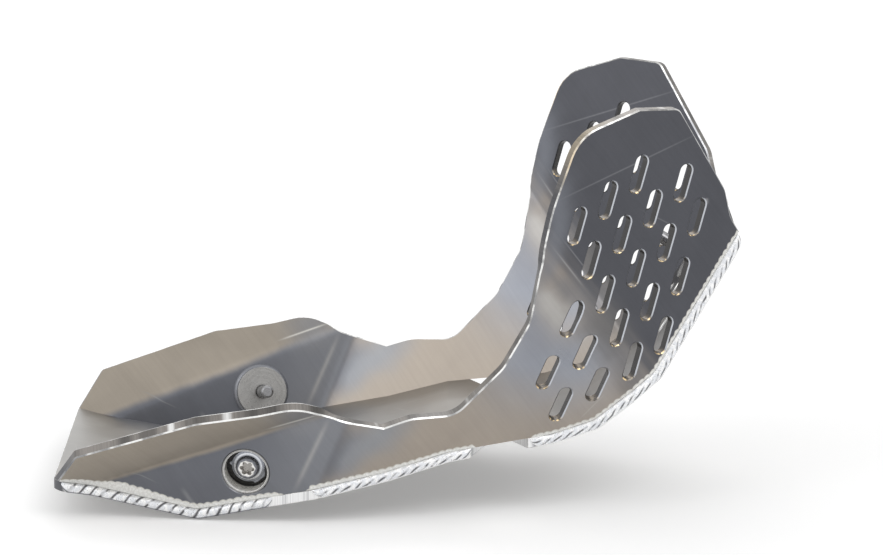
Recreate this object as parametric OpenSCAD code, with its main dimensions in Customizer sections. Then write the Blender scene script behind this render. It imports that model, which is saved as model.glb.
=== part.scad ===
// Welded aluminium skid plate with slotted side wings, for the underside of a motorcycle.
// +X points forward, +Y to the left and +Z up. The origin is where the front bolt's thread
// starts, just behind the back of its mounting cup, on the centre plane.

/* [Sheet] */
// Thickness of all three plates
sheet_t = 4.76; // [3:0.01:6]
// Inside radius of the centre plate's bends
bend_r = 8; // [5:0.5:12]

/* [Centre plate] */
// Slope of the front panel
front_slope = 58; // [52:0.5:64]
// Front panel above the mounting hole
front_above = 26.5; // [20:0.5:34]
// Front panel below the mounting hole
front_below = 47; // [42:0.5:54]
// Length of the upper knee flat
knee_len = 34.8; // [30:0.2:40]
// Slope of the upper knee flat
knee_slope = 38; // [32:0.5:44]
// Length of the lower knee flat
toe_len = 21; // [17:0.2:26]
// Slope of the lower knee flat
toe_slope = 17; // [13:0.5:21]
// Length of the flat ahead of the step
fore_len = 47.4; // [42:0.2:54]
// Slope of the flat ahead of the step
fore_slope = 7.5; // [4:0.5:10]
// Length of the step
step_len = 30; // [25:0.2:36]
// Slope of the step
step_slope = 16; // [13:0.5:19]
// Length of the belly flat
belly_len = 88; // [78:0.5:98]
// Slope of the belly flat
belly_slope = 12; // [10:0.5:13]
// Length of the tail flat
tail_len = 67.3; // [58:0.1:72]
// Drop of the tail flat towards the front
tail_drop = 11.5; // [8:0.5:15]
// Corner radius at the rear end, seen from above
rear_corner_r = 5; // [2:0.5:8]

/* [Side plate folds] */
// Half width over the side plates' middle flats, level with the front mount
flank_y = 81.8; // [76:0.2:88]
// Turn of the middle flat towards the front
flank_sweep = 15; // [12:0.5:18]
// Lean of the middle flat, outwards at its top
flank_lean = 19.7; // [16:0.1:23]
// Fold between the middle flat and the wing
wing_fold = 20.5; // [17:0.5:24]
// Inside radius of the wing fold
wing_fold_r = 8; // [6:0.5:12]
// Fold between the middle flat and the rear flat
rear_fold = 24.5; // [21:0.5:28]
// Inside radius of the rear fold
rear_fold_r = 12; // [8:0.5:16]
// Fold that flares the lip outwards
lip_fold = 37; // [32:0.5:42]
// Inside radius of the lip fold
lip_fold_r = 6; // [5:0.5:8]

/* [Side plate outline] */
// Height of the wing's top edge over the front mount
wing_top = 82.7; // [78:0.1:88]
// Distance of the wing's rear edge behind the front mount
wing_rear = 83.4; // [80:0.1:86]
// Height of the lip's highest point over the corner of belly and tail, counted on the flat blank
lip_top = 57.3; // [54:0.1:60]
// Distance of the lip's rear corner ahead of the tail's rear end, counted on the flat blank
lip_rear = 13.4; // [8:0.1:20]

/* [Slots] */
// Width of every slot
slot_w = 6.35; // [5:0.05:8]
// Overall length of every slot
slot_len = 17.6; // [14:0.1:20]
// Pitch between the slots of a row
slot_pitch = 25.5; // [24:0.1:27]
// Distance between rows
row_pitch = 14.2; // [13:0.1:15]
// Angle of the slots on the flat blank
slot_angle = 72.4; // [68:0.1:77]

/* [Mounting cups] */
// Bore of the cup that the bolt's head sinks into
cup_bore = 20; // [18:0.1:22]
// Wall of the cup's spigot in the plate
cup_wall = 1; // [0.8:0.1:2]
// Shoulder of the cup against the plate's inner face
cup_shoulder = 1; // [0.8:0.1:1.4]
// Depth of the cup's floor below the plate's outer face
cup_depth = 7.6; // [6:0.1:10]
// Thickness of the cup's floor
cup_floor = 3; // [2:0.1:5]
// Leg of the fillet weld round the cup
cup_weld_leg = 1.6; // [1:0.1:2]
// Diametral clearance of the cup's spigot in its hole
cup_gap = 0.2; // [0.1:0.05:0.4]

/* [Bolts] */
// Diameter of the shank
bolt_d = 6; // [5:0.1:8]
// Length under the head
bolt_len = 25; // [20:0.5:35]
// Diameter of the thinner neck that keeps the bolt in its cup
neck_d = 5.2; // [4:0.1:5.6]
// Diameter of the flange under the head
flange_d = 15.4; // [13:0.1:17]
// Thickness of the flange
flange_t = 1.4; // [1:0.1:2]
// Diameter of the head
head_d = 10.4; // [9:0.1:12]
// Height of the head over the flange
head_h = 2.6; // [2:0.1:3.4]
// Width across the lobes of the drive recess
recess_d = 6.8; // [5:0.1:7.5]
// Depth of the drive recess
recess_depth = 2.4; // [1.5:0.1:3]
// Diametral clearance of the shank in the cup's floor
bolt_gap = 0.6; // [0.2:0.05:1]

/* [Weld beads] */
// How far a bead stands proud of the plate's edge
bead_proud = 1.9; // [1:0.1:2.6]
// Distance from one ripple to the next
ripple_pitch = 5.4; // [4:0.1:7]
// Depth of the ripples as a share of how far the bead stands proud
ripple_share = 0.22; // [0:0.02:0.4]
// Start of the rear bead, along the seam from the rear end
rear_bead_from = 5.2; // [4:0.1:8]
// Length of the rear bead
rear_bead_len = 99; // [86:0.5:104]
// Bare stretch between the rear and the middle bead
rear_bead_gap = 19.5; // [12:0.5:24]

/* [Cut-outs of the centre plate] */
// Distance of the side notch's front end behind the front mount
notch_front = 82; // [78:0.5:86]
// Length of the side notch at the edge
notch_len = 27; // [22:0.5:32]
// Depth of the side notch
notch_depth = 30; // [24:0.5:34]
// Slant of the side notch's ends
notch_slant = 10; // [4:0.5:12]
// Diameter of the oil drain opening
drain_d = 38; // [30:0.5:44]
// Distance of the oil drain opening behind the front mount
drain_x = 190; // [184:0.5:196]

/* [Hidden] */
$fn = 96;
plate_colour = [0.72, 0.72, 0.71];
bead_colour = [0.92, 0.92, 0.90];
steel_colour = [0.62, 0.62, 0.63];
far = 400;               // longer than any plate, for cutting shapes
fold_lap = 0.3;          // how far a round strip runs on into the flats beside it
fold_step = 0.02;        // how far its faces lie below those of the flats
arc_steps = 3;           // flats in each round bend of the profile
cup_hole_d = cup_bore + 2 * cup_wall;
cup_d = cup_hole_d + 2 * cup_shoulder;
seat_depth = cup_depth + cup_floor;     // the cup's back face below the plate's outer face

// Profile of the centre plate's upper face, in the XZ plane, from the rear end to the front top.
// It starts from the middle of the front hole on the panel's inner face.
slopes = [-tail_drop, belly_slope, step_slope, fore_slope, toe_slope, knee_slope, front_slope];
lengths = [tail_len, belly_len, step_len, fore_len, toe_len, knee_len, front_below + front_above];
function dir2(a) = [cos(a), sin(a)];
function up2(a) = [-sin(a), cos(a)];
panel_foot = -front_below * dir2(front_slope);
function corner(i) = i == 6 ? panel_foot : corner(i + 1) - lengths[i] * dir2(slopes[i]);
corners = [for (i = [0:6]) corner(i)];
profile_end = front_above * dir2(front_slope);
// One round bend at a corner; off is the distance below the upper face
function bend_points(i, off) =
    let (a0 = slopes[i - 1], a1 = slopes[i], turn = a1 - a0, side = sign(turn),
         r = side > 0 ? bend_r : bend_r + sheet_t,
         centre = corners[i] - r * tan(abs(turn) / 2) * dir2(a0) + side * r * up2(a0))
    [for (k = [0:arc_steps]) let (a = a0 + turn * k / arc_steps) centre - (side * r + off) * up2(a)];
function profile_line(off) = concat(
    [corners[0] - off * up2(slopes[0])],
    [for (i = [1:6]) for (p = bend_points(i, off)) p],
    [profile_end - off * up2(front_slope)]);
top_line = profile_line(0);
function reversed(v) = [for (i = [len(v) - 1:-1:0]) v[i]];

// Matrices that place and fold the side plate's flat blank
function shift4(v) = [[1, 0, 0, v[0]], [0, 1, 0, v[1]], [0, 0, 1, v[2]], [0, 0, 0, 1]];
function rotx4(a) = [[1, 0, 0, 0], [0, cos(a), -sin(a), 0], [0, sin(a), cos(a), 0], [0, 0, 0, 1]];
function roty4(a) = [[cos(a), 0, sin(a), 0], [0, 1, 0, 0], [-sin(a), 0, cos(a), 0], [0, 0, 0, 1]];
function rotz4(a) = [[cos(a), -sin(a), 0, 0], [sin(a), cos(a), 0, 0], [0, 0, 1, 0], [0, 0, 0, 1]];
mid_m = shift4([0, -flank_y, 0]) * rotz4(flank_sweep) * rotx4(flank_lean + 90) * shift4([0, 0, -sheet_t / 2]);

// Where a place given as [x, z] in side view lies on the blank, in the plane of the middle flat
function blank_at(q) =
    let (x = q[0] - mid_m[0][3], z = q[1] - mid_m[2][3],
         det = mid_m[0][0] * mid_m[2][1] - mid_m[0][1] * mid_m[2][0])
    [(mid_m[2][1] * x - mid_m[0][1] * z) / det, (mid_m[0][0] * z - mid_m[2][0] * x) / det];
// A point of the blank that goes with corner i of the profile; a third entry is kept
function by(i, p) = let (c = blank_at(corners[i]))
    [for (k = [0:len(p) - 1]) k < 2 ? c[k] + p[k] : p[k]];

// A fold is [a point on its line, heading across the line to the far side, angle, inside radius]
wing_line = [[-80.9, 15.7], 37.2, wing_fold, wing_fold_r];
rear_line = [by(1, [65.7, 46.85]), 162.5, rear_fold, rear_fold_r];
lip_line = [by(1, [54.2, 48.75]), 115.6, -lip_fold, lip_fold_r];
function neutral_r(f) = f[3] + sheet_t / 2;
function strip_w(f) = neutral_r(f) * abs(f[2]) * PI / 180;
function line4(f) = shift4([f[0][0], f[0][1], 0]) * rotz4(f[1]);
function unline4(f) = rotz4(-f[1]) * shift4([-f[0][0], -f[0][1], 0]);
// Carries a part of the blank over the share of the fold given, landing at blank distance from its line
function fold4(f, share, land) = line4(f) * shift4([-strip_w(f) / 2, 0, -sign(f[2]) * neutral_r(f)])
    * roty4(f[2] * share) * shift4([land, 0, sign(f[2]) * neutral_r(f)]) * unline4(f);
function full4(f) = fold4(f, 1, -strip_w(f) / 2);
function half4(f) = fold4(f, 0.5, 0);
wing_m = mid_m * full4(wing_line);
rear_m = mid_m * full4(rear_line);
lip_m = rear_m * full4(lip_line);

// Half width to a flat's outer face, at a place given as [x, z]
function face_y(m, q) =
    let (p = m * [0, 0, sheet_t / 2, 1], n = m * [0, 0, 1, 0])
    -(p[1] - (n[0] * (q[0] - p[0]) + n[2] * (q[1] - p[2])) / n[1]);
function half_y(q) = min(max(face_y(rear_m, q), face_y(lip_m, q)), face_y(mid_m, q), face_y(wing_m, q));
face_pairs = [[rear_m, lip_m], [rear_m, mid_m], [mid_m, wing_m]];
function face_step(q, pair) = face_y(pair[0], q) - face_y(pair[1], q);
// The seam is the line where the side plate's outer face meets the centre plate's upper face
function crossings(a, b) = [for (pair = face_pairs)
    let (da = face_step(a, pair), db = face_step(b, pair))
    if (da * db < 0) let (q = a + (b - a) * da / (da - db))
    if (abs(half_y(q) - face_y(pair[0], q)) < 0.01) q];
seam_places = concat([for (i = [0:len(top_line) - 2])
    for (q = concat([top_line[i]], crossings(top_line[i], top_line[i + 1]))) q], [profile_end]);
seam = [for (q = seam_places) [q[0], -half_y(q), q[1]]];

// Length along the seam from the rear end to each of its points, and places at a run length
runs = [for (i = 0, run = 0; i < len(seam);
    run = run + (i + 1 < len(seam) ? norm(seam[i + 1] - seam[i]) : 0), i = i + 1) run];
function seam_at(run) = let (i = max([for (k = [0:len(runs) - 2]) runs[k] <= run ? k : 0]))
    seam[i] + (run - runs[i]) / (runs[i + 1] - runs[i]) * (seam[i + 1] - seam[i]);
function run_at(x) = lookup(x, [for (i = [0:len(seam) - 1]) [seam[i][0], runs[i]]]);
bead_step = ripple_pitch / 4;
bead_sides = 6;          // flats across a bead's round front
bead_end = 2.5;          // length over which a bead's end rounds off
bead_gap = 0.15;         // clearance of a bead from the faces that it lies on
cup_sunk = 0.3;          // the cup's rim below the plate's outer face
bolt_tip = 0.8;          // chamfer of the shank's end
neck_over = 0.3;         // how far the bolt's neck reaches out of the back of the cup
// Slots of the front panel: [distance below the hole, distance from the centre plane]
panel_slot_places = [[-8, 24], [17, 24], [4.5, 40], [29.5, 40], [29.5, 8]];

// Round corners of an outline: each entry is [x, y, radius]
function unit(v) = v / norm(v);
function rounded(points) = [for (i = [0:len(points) - 1])
    let (n = len(points), p = [points[i][0], points[i][1]], r = points[i][2],
         a = points[(i + n - 1) % n], b = points[(i + 1) % n],
         u = unit([a[0], a[1]] - p), v = unit([b[0], b[1]] - p),
         half = acos(u * v) / 2, reach = r / tan(half), mid = unit(u + v),
         centre = p + mid * r / sin(half), side = sign(u[0] * v[1] - u[1] * v[0]),
         sweep = 180 - 2 * half, steps = r == 0 ? 0 : max(2, ceil(sweep / 9)),
         start = p + u * reach - centre)
    for (k = [0:steps]) r == 0 ? p : let (a2 = -side * sweep * k / steps)
        centre + [start[0] * cos(a2) - start[1] * sin(a2), start[0] * sin(a2) + start[1] * cos(a2)]];

// Flat blank of the right side plate, seen from outside: the wing is measured from the front mount,
// the rest from corners of the profile. Its lower margin is cut away where it meets the centre plate.
blank_points = [
    [-30.8, wing_top, 3], [-63, wing_top - 7.9, 20], [-76.7, wing_top - 40.7, 60],
    [2.1 - wing_rear, 24, 60], [-wing_rear - 0.8, -12, 22], [-94.6, -35.3, 14],
    by(3, [1.1, 20.3, 12]), by(3, [-19.6, 19.7, 20]), by(3, [-32.1, 15.4, 0.8]),
    by(1, [58.8, lip_top - 7.7, 20]), by(1, [43.1, lip_top, 18]), by(1, [26.3, lip_top - 4.8, 25]),
    by(1, [-2.1, lip_top - 9.4, 6]), by(0, [lip_rear, 10.4, 2.5]), by(0, [lip_rear - 14, -24, 0]),
    by(0, [21.9, -31, 0]), by(1, [4.3, -16.7, 0]), by(3, [-4.1, -9, 0]), by(5, [2.6, -10, 0]),
    by(6, [9.3, -12.8, 0]), [33, 4, 0], [20.2, 24.5, 12], [17, 37.8, 12], [-9.3, 80.2, 5]];
rear_hole = by(1, [22.9, 16.65]);
slot_origin = [-47.9, -1.7];
// Rows of slots: [row, place of the first slot in half pitches, number of slots]
slot_rows = [[4, 0, 2], [3, -1, 3], [2, -2, 3], [1, -1, 3], [0, 0, 2],
             [-1, -1, 3], [-2, 0, 2], [-3, -1, 2], [-4, 0, 1]];

module slot() {
    for (s = [-1, 1]) translate([0, s * (slot_len - slot_w) / 2]) circle(d = slot_w);
    square([slot_w, slot_len - slot_w], center = true);
}

module slot_field() {
    translate(slot_origin) rotate(slot_angle - 90)
        for (row = slot_rows) for (k = [0:row[2] - 1])
            translate([(row[1] / 2 + k) * slot_pitch, row[0] * row_pitch]) slot();
}

// Everything on the far side of a fold's line, moved by off
module beyond(f, off) {
    translate(f[0]) rotate(f[1]) translate([off, -far]) square([2 * far, 2 * far]);
}

// The blank with its cut-outs, kept only where its children are
module blank_part(slots) {
    difference() {
        intersection() {
            polygon(rounded(blank_points));
            children();
        }
        if (slots) slot_field();
        else translate(rear_hole) circle(d = cup_hole_d);
    }
}

module flat_part(m, slots) {
    multmatrix(m) translate([0, 0, -sheet_t / 2]) linear_extrude(sheet_t) blank_part(slots) children();
}

// Round strip of sheet along a fold, on the plate part that m places
module fold_part(m, f, slots) {
    w = strip_w(f);
    reach = w / 2 + sheet_t;
    lap = fold_lap / neutral_r(f) * 180 / PI;
    intersection() {
        multmatrix(m * line4(f)) mirror([0, 0, f[2] < 0 ? 1 : 0])
            translate([-w / 2, 0, -neutral_r(f)]) rotate([-90, 0, 0]) rotate(-90 - lap)
                rotate_extrude(angle = abs(f[2]) + 2 * lap)
                    translate([f[3] + fold_step, -far / 2]) square([sheet_t - 2 * fold_step, far]);
        multmatrix(m * half4(f)) translate([0, 0, -sheet_t]) linear_extrude(2 * sheet_t)
            blank_part(slots) intersection() {
                difference() {
                    beyond(f, -reach);
                    beyond(f, reach);
                }
                children();
            }
    }
}

// The right side plate before its lower edge is cut to the centre plate
module folded_blank() {
    wing_w = strip_w(wing_line) / 2;
    rear_w = strip_w(rear_line) / 2;
    lip_w = strip_w(lip_line) / 2;
    flat_part(wing_m, true) beyond(wing_line, wing_w);
    fold_part(mid_m, wing_line, true) beyond(rear_line, -far);
    flat_part(mid_m, true) difference() {
        beyond(rear_line, -far);
        beyond(wing_line, -wing_w);
        beyond(rear_line, -rear_w);
    }
    fold_part(mid_m, rear_line, false) beyond(rear_line, -far);
    flat_part(rear_m, false) difference() {
        beyond(rear_line, rear_w);
        beyond(lip_line, -lip_w);
    }
    fold_part(rear_m, lip_line, false) beyond(rear_line, rear_w);
    flat_part(lip_m, false) intersection() {
        beyond(rear_line, rear_w);
        beyond(lip_line, lip_w);
    }
}

// Extrudes an XZ outline along Y, over the whole width
module across() {
    rotate([90, 0, 0]) linear_extrude(2 * far, center = true) children();
}

// All that lies below and ahead of the centre plate's upper face
module outside_top_line() {
    rear_ext = corners[0] - far / 4 * dir2(slopes[0]);
    front_ext = profile_end + far / 4 * dir2(front_slope);
    across() polygon(concat([rear_ext], [for (i = [1:len(top_line) - 2]) top_line[i]],
        [front_ext, [far, front_ext[1]], [far, -far], [rear_ext[0], -far]]));
}

module side_plate() {
    difference() {
        folded_blank();
        outside_top_line();
    }
}

// Places a piece drawn with its axis along +Z, pointing outwards from the plate's outer face
module at_rear_hole() {
    multmatrix(rear_m) translate([rear_hole[0], rear_hole[1], sheet_t / 2]) children();
}

module at_front_hole() {
    rotate([0, 180 - front_slope, 0]) translate([0, 0, sheet_t]) children();
}

module left() {
    mirror([0, 1, 0]) children();
}

// The start of the front bolt's thread becomes the origin
module from_front_thread() {
    translate((seat_depth + neck_over - sheet_t) * [sin(front_slope), 0, -cos(front_slope)]) children();
}

module planform() {
    rear = rounded([[seam[0][0], 0, 0], [seam[0][0], seam[0][1], rear_corner_r],
                    [seam[1][0], seam[1][1], 0]]);
    side = concat([for (i = [1:len(rear) - 1]) rear[i]],
                  [for (i = [2:len(seam) - 1]) [seam[i][0], seam[i][1]]]);
    linear_extrude(2 * far, center = true)
        polygon(concat(side, reversed([for (p = side) [p[0], -p[1]]])));
}

module side_notch() {
    edge = -lookup(-notch_front - notch_len / 2, [for (p = seam) [p[0], p[1]]]);
    translate([-notch_front, -edge, -far]) linear_extrude(2 * far)
        polygon([[0, -far], [0, 0], [-notch_slant, notch_depth], [notch_slant - notch_len, notch_depth],
                 [-notch_len, 0], [-notch_len, -far]]);
}

module panel_slots() {
    for (q = panel_slot_places, s = [-1, 1]) translate([q[0], s * q[1], -2 * sheet_t])
        linear_extrude(3 * sheet_t) rotate(90) slot();
}

module centre_plate() {
    color(plate_colour) from_front_thread() difference() {
        intersection() {
            across() polygon(concat(top_line, reversed(profile_line(sheet_t))));
            planform();
        }
        side_notch();
        left() side_notch();
        at_front_hole() {
            translate([0, 0, -2 * sheet_t]) cylinder(d = cup_hole_d, h = 3 * sheet_t);
            panel_slots();
        }
        translate([-drain_x, 0, -far]) cylinder(d = drain_d, h = far);
    }
}

module right_side_plate() { color(plate_colour) from_front_thread() side_plate(); }
module left_side_plate() { color(plate_colour) left() from_front_thread() side_plate(); }

// Weld bead along the right seam, from one run length to another. A ring of points every quarter
// ripple has a flat back on the plate's edge, and its round front rises and falls with the ripples.
function bead_ring(run, from, to) =
    let (t = unit(seam_at(run + bead_step / 2) - seam_at(run - bead_step / 2)),
         out = unit([t[1], -t[0], 0]), down = cross(t, out),
         end = min(1, (run - from + 0.5) / bead_end, (to - run + 0.5) / bead_end))
    [for (k = [0:bead_sides])
        let (a = 180 * k / bead_sides,
             wave = 1 - ripple_share * (0.5 + 0.5 * cos(360 * (run / ripple_pitch - 0.4 * sin(a)))))
        seam_at(run) + out * (bead_gap + bead_proud * wave * sin(90 * end) * sin(a))
            + down * (bead_gap + (sheet_t - 2 * bead_gap) * (1 - cos(a)) / 2)];

module bead(from, to) {
    n = round((to - from) / bead_step);
    m = bead_sides + 1;
    points = [for (i = [0:n]) for (p = bead_ring(from + (to - from) * i / n, from, to)) p];
    faces = concat(
        [[for (k = [m - 1:-1:0]) k]],
        [for (i = [0:n - 1], k = [0:m - 1]) let (a = i * m + k, b = i * m + (k + 1) % m)
            each [[a, b, b + m], [a, b + m, a + m]]],
        [[for (k = [0:m - 1]) n * m + k]]);
    color(bead_colour) from_front_thread() polyhedron(points, faces);
}

rear_bead_to = rear_bead_from + rear_bead_len;
notch_rear = -notch_front - notch_len;
module rear_bead_right() { bead(rear_bead_from, rear_bead_to); }
module middle_bead_right() { bead(rear_bead_to + rear_bead_gap, run_at(notch_rear)); }
module front_bead_right() { bead(run_at(-notch_front), runs[len(runs) - 1] - bead_end / 4); }
module rear_bead_left() { left() rear_bead_right(); }
module middle_bead_left() { left() middle_bead_right(); }
module front_bead_left() { left() front_bead_right(); }

// Turned cup welded in a plate's hole, so that the bolt's head lies below the surface
module cup() {
    difference() {
        union() {
            translate([0, 0, -seat_depth]) cylinder(d = cup_d, h = seat_depth - sheet_t);
            translate([0, 0, -seat_depth]) cylinder(d = cup_hole_d - cup_gap, h = seat_depth - cup_sunk);
        }
        translate([0, 0, -cup_depth]) cylinder(d = cup_bore, h = 2 * cup_depth);
        translate([0, 0, -2 * seat_depth]) cylinder(d = bolt_d + bolt_gap, h = 2 * seat_depth);
    }
}

module cup_weld() {
    r = cup_d / 2;
    rotate_extrude() polygon([[r, -sheet_t], [r + cup_weld_leg, -sheet_t],
        [r + 0.62 * cup_weld_leg, -sheet_t - 0.62 * cup_weld_leg], [r, -sheet_t - cup_weld_leg]]);
}

module bolt() {
    neck_end = -cup_floor - neck_over;
    difference() {
        translate([0, 0, -cup_depth]) rotate_extrude()
            polygon([[0, -bolt_len], [bolt_d / 2 - bolt_tip, -bolt_len], [bolt_d / 2, bolt_tip - bolt_len],
                     [bolt_d / 2, neck_end], [neck_d / 2, neck_end], [neck_d / 2, 0], [flange_d / 2, 0],
                     [flange_d / 2, flange_t / 2], [head_d / 2, flange_t],
                     [head_d / 2, flange_t + 0.75 * head_h], [0.43 * head_d, flange_t + head_h],
                     [0, flange_t + head_h]]);
        translate([0, 0, flange_t + head_h - cup_depth - recess_depth]) linear_extrude(far) {
            circle(d = 0.72 * recess_d);
            for (k = [0:5]) rotate(60 * k) translate([0.36 * recess_d, 0]) circle(d = 0.28 * recess_d);
        }
    }
}

module rear_cup_right() { color(plate_colour) from_front_thread() at_rear_hole() cup(); }
module rear_cup_left() { color(plate_colour) left() from_front_thread() at_rear_hole() cup(); }
module front_cup() { color(plate_colour) from_front_thread() at_front_hole() cup(); }
module rear_cup_weld_right() { color(bead_colour) from_front_thread() at_rear_hole() cup_weld(); }
module rear_cup_weld_left() { color(bead_colour) left() from_front_thread() at_rear_hole() cup_weld(); }
module front_cup_weld() { color(bead_colour) from_front_thread() at_front_hole() cup_weld(); }
module rear_bolt_right() { color(steel_colour) from_front_thread() at_rear_hole() bolt(); }
module rear_bolt_left() { color(steel_colour) left() from_front_thread() at_rear_hole() bolt(); }
module front_bolt() { color(steel_colour) from_front_thread() at_front_hole() bolt(); }

centre_plate();
right_side_plate();
left_side_plate();
rear_bead_right();
middle_bead_right();
front_bead_right();
rear_bead_left();
middle_bead_left();
front_bead_left();
rear_cup_right();
rear_cup_left();
front_cup();
rear_cup_weld_right();
rear_cup_weld_left();
front_cup_weld();
rear_bolt_right();
rear_bolt_left();
front_bolt();
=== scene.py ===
import bmesh
import bpy
import math
import numpy as np
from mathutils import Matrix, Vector
from mathutils.geometry import delaunay_2d_cdt


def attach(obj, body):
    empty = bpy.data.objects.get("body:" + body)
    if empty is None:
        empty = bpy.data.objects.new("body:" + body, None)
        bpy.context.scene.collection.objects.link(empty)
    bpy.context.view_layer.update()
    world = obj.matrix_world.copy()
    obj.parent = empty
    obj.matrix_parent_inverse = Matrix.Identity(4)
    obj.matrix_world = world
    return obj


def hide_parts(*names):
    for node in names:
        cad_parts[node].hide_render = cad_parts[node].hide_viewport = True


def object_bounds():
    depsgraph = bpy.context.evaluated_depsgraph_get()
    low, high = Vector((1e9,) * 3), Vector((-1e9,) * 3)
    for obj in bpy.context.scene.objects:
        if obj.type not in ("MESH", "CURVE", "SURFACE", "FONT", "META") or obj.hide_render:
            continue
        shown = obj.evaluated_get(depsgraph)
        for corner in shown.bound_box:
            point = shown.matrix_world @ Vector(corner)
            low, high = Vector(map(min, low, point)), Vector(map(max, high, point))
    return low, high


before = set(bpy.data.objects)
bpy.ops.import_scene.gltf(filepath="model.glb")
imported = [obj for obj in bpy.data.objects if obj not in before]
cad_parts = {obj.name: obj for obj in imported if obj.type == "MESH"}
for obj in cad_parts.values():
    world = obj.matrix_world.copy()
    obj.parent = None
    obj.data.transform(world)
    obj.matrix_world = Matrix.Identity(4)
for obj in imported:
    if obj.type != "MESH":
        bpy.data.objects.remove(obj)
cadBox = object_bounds()
print("frame loaded with", len(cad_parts), "nodes")

# The camera stands level with the seam of the right side, ten degrees above it
camera = {"target": (-0.1171956, -0.094, 0.005546), "pitch": 10.0, "distance": 2.3, "lens": 207.0}


def makeCamera(values):
    data = bpy.data.cameras.new("camera")
    data.lens = values["lens"]
    data.sensor_width = 36.0
    data.clip_end = 100.0
    ob = bpy.data.objects.new("camera", data)
    pitch = math.radians(values["pitch"])
    x, y, z = values["target"]
    ob.location = (x, y - values["distance"] * math.cos(pitch), z + values["distance"] * math.sin(pitch))
    ob.rotation_euler = (math.pi / 2 - pitch, 0, 0)
    bpy.context.scene.collection.objects.link(ob)
    bpy.context.scene.camera = ob


makeCamera(camera)
bpy.context.scene.view_settings.view_transform = "Standard"
print("camera placed")

# Helpers for meshes and node trees

def link(ob):
    bpy.context.scene.collection.objects.link(ob)
    return ob


def tubeMesh(name, points):
    # Rows of points become a closed tube: each row joins the next one, its last point joins its first, and
    # the two end rows are faces
    index = np.arange(points.shape[0] * points.shape[1]).reshape(points.shape[:2])
    beside = np.roll(index, -1, axis=1)
    quads = np.stack([index[:-1], beside[:-1], beside[1:], index[1:]], axis=-1).reshape(-1, 4)
    ends = [index[0, ::-1].tolist(), index[-1].tolist()]
    mesh = bpy.data.meshes.new(name)
    mesh.from_pydata(points.reshape(-1, 3).tolist(), [], quads.tolist() + ends)
    mesh.validate()
    return mesh


def addUv(mesh, name, values):
    # Keeps a pair of numbers per vertex as a UV map
    loops = np.empty(len(mesh.loops), dtype=np.int32)
    mesh.loops.foreach_get("vertex_index", loops)
    mesh.uv_layers.new(name=name).data.foreach_set("uv", values[loops].ravel())


class Tree:
    # Short way to add nodes and wires to one node tree
    def __init__(self, tree):
        self.tree = tree

    def add(self, kind, inputs=None, **fields):
        node = self.tree.nodes.new(kind)
        for key, value in fields.items():
            setattr(node, key, value)
        for key, value in (inputs or {}).items():
            self.put(node.inputs[key], value)
        return node

    def put(self, socket, value):
        if isinstance(value, bpy.types.NodeSocket):
            self.tree.links.new(value, socket)
        elif value is not None:
            socket.default_value = value

    def math(self, operation, a, b=None, clamp=False):
        node = self.add("ShaderNodeMath", operation=operation, use_clamp=clamp)
        self.put(node.inputs[0], a)
        self.put(node.inputs[1], b)
        return node.outputs[0]

    def plus(self, a, b):
        return self.math("ADD", a, b)

    def minus(self, a, b):
        return self.math("SUBTRACT", a, b)

    def times(self, a, b):
        return self.math("MULTIPLY", a, b)

    def vector(self, operation, a, b):
        return self.add("ShaderNodeVectorMath", {0: a, 1: b}, operation=operation).outputs[0]

    def dot(self, a, direction):
        return self.add("ShaderNodeVectorMath", {0: a, 1: direction}, operation="DOT_PRODUCT").outputs["Value"]

    def scaled(self, vector, factor):
        return self.add("ShaderNodeVectorMath", {0: vector, "Scale": factor}, operation="SCALE").outputs[0]

    def split(self, vector):
        return self.add("ShaderNodeSeparateXYZ", {0: vector}).outputs

    def ramp(self, value, low, high, outLow=0.0, outHigh=1.0, kind="SMOOTHSTEP"):
        node = self.add("ShaderNodeMapRange", interpolation_type=kind)
        for socket, x in zip(node.inputs, (value, low, high, outLow, outHigh)):
            self.put(socket, x)
        return node.outputs[0]

    def fall(self, value, low, high):
        # One below the low value and nothing above the high one
        return self.math("SUBTRACT", 1.0, self.ramp(value, low, high), clamp=True)

    def spread(self, noise, outLow, outHigh):
        # The middle of a noise drawn out over a range
        return self.ramp(noise, 0.3, 0.7, outLow, outHigh, kind="LINEAR")

    def mix(self, share, a, b):
        node = self.add("ShaderNodeMix", data_type="RGBA")
        for number, value in ((0, share), (6, a), (7, b)):
            self.put(node.inputs[number], value)
        return node.outputs[2]

    def noise(self, vector, scale, detail=2.0, roughness=0.5, distortion=0.0, output="Fac"):
        return self.add("ShaderNodeTexNoise", {"Vector": vector, "Scale": scale, "Detail": detail,
                        "Roughness": roughness, "Distortion": distortion}).outputs[output]

    def turned(self, vector, angle, shift=0.0):
        return self.add("ShaderNodeMapping", {"Vector": vector, "Rotation": (0, 0, angle),
                        "Location": (shift, shift, 0)}).outputs[0]

    def uv(self, name):
        return self.add("ShaderNodeUVMap", uv_map=name).outputs[0]

    def place(self):
        return self.add("ShaderNodeTexCoord").outputs["Object"]

    def group(self, made, **inputs):
        node = self.tree.nodes.new("ShaderNodeGroup")
        node.node_tree = made
        for key, value in inputs.items():
            self.put(node.inputs[key], value)
        return node.outputs


def newGroup(name, inputs, outputs):
    # Inputs are given as vectors, or as numbers with their usual value
    made = bpy.data.node_groups.new(name, "ShaderNodeTree")
    for key, value in inputs.items():
        kind = "NodeSocketVector" if value is None else "NodeSocketFloat"
        socket = made.interface.new_socket(key, in_out="INPUT", socket_type=kind)
        if value is not None:
            socket.default_value = value
    for key in outputs:
        made.interface.new_socket(key, in_out="OUTPUT", socket_type="NodeSocketFloat")
    t = Tree(made)
    return made, t, t.add("NodeGroupInput").outputs, t.add("NodeGroupOutput").inputs


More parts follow.
